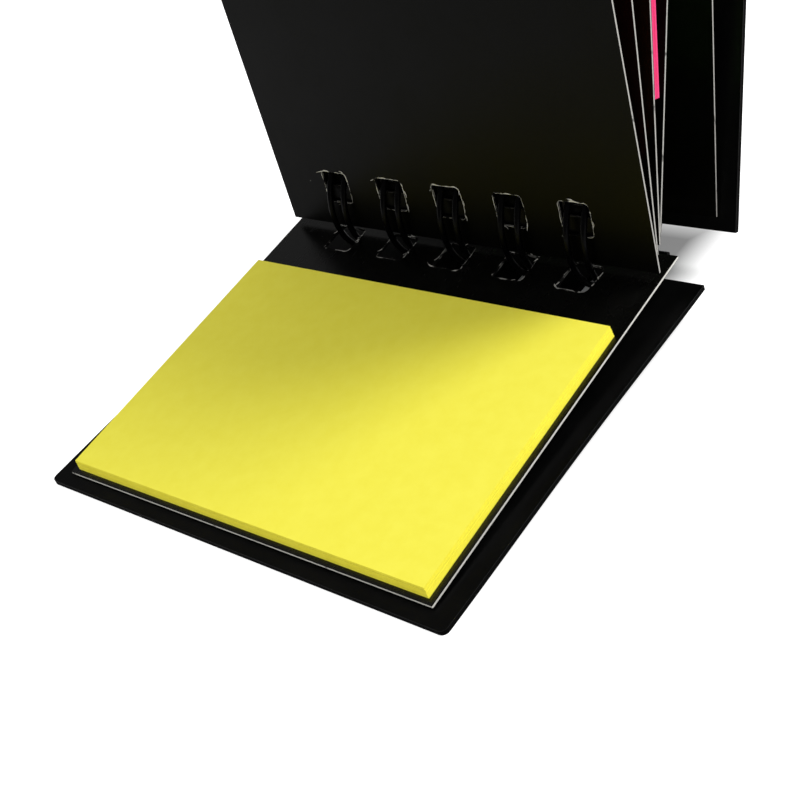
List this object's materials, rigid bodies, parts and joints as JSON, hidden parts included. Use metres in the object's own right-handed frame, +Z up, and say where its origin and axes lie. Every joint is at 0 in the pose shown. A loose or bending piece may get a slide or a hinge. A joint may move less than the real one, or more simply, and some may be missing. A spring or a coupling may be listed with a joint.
{
  "type": "sticky note pad",
  "caption": "Wire-bound booklet of stiff card leaves that each hold a pad of sticky notes, standing open at its last leaf with the others fanned out behind.",
  "frame": {"origin": "centre of the bounding box, at the surface that the booklet stands on", "axes": "+X along the binding to the right, +Y from the open leaf towards the binding, +Z up"},
  "size_m": [0.0856, 0.1118, 0.0825],
  "materials": {
    "black_card": "satin",
    "black_cover": "satin",
    "wire": "gloss",
    "notes_yellow": "matte",
    "notes_red": "matte",
    "notes_orange": "matte",
    "notes_pink": "matte",
    "notes_green": "matte"
  },
  "bodies": {
    "base": {"back_cover": "black_cover", "leaf_5_card": "black_card", "leaf_5_pad_yellow": "notes_yellow", "binding_wire": "wire"},
    "leaf_1": {"leaf_1_card": "black_card", "leaf_1_pad_red": "notes_red"},
    "leaf_2": {"leaf_2_card": "black_card", "leaf_2_pad_orange": "notes_orange"},
    "leaf_3": {"leaf_3_card": "black_card", "leaf_3_pad_pink": "notes_pink"},
    "leaf_4": {"leaf_4_card": "black_card", "leaf_4_pad_green": "notes_green"},
    "inner_leaf": {"inner_leaf_card": "black_card"},
    "front_cover": {"front_cover": "black_cover"}
  },
  "joints": [
    {"name": "front_cover_turn", "type": "hinge", "parent": "base", "child": "front_cover", "pos_m": [0, 0.0198, 0.01008], "axis": [1, 0, 0], "range_deg": [0, 117.57]},
    {"name": "inner_leaf_turn", "type": "hinge", "parent": "base", "child": "inner_leaf", "pos_m": [0, 0.01997, 0.01032], "axis": [1, 0, 0], "range_deg": [0, 111.98]},
    {"name": "leaf_4_turn", "type": "hinge", "parent": "base", "child": "leaf_4", "pos_m": [0, 0.01521, 0.01763], "axis": [1, 0, 0], "range_deg": [0, 119.18]},
    {"name": "leaf_3_turn", "type": "hinge", "parent": "base", "child": "leaf_3", "pos_m": [0, 0.0146, 0.01631], "axis": [1, 0, 0], "range_deg": [0, 111.78]},
    {"name": "leaf_2_turn", "type": "hinge", "parent": "base", "child": "leaf_2", "pos_m": [0, 0.01423, 0.01504], "axis": [1, 0, 0], "range_deg": [0, 105.88]},
    {"name": "leaf_1_turn", "type": "hinge", "parent": "base", "child": "leaf_1", "pos_m": [0, 0.01344, 0.0132], "axis": [1, 0, 0], "range_deg": [0, 99.38]}
  ],
  "couplings": [
    {"joint": "inner_leaf_turn", "follows": "front_cover_turn", "ratio": 0.95237},
    {"joint": "leaf_4_turn", "follows": "front_cover_turn", "ratio": 1.0136},
    {"joint": "leaf_3_turn", "follows": "front_cover_turn", "ratio": 0.95067},
    {"joint": "leaf_2_turn", "follows": "front_cover_turn", "ratio": 0.90049},
    {"joint": "leaf_1_turn", "follows": "front_cover_turn", "ratio": 0.8452}
  ]
}
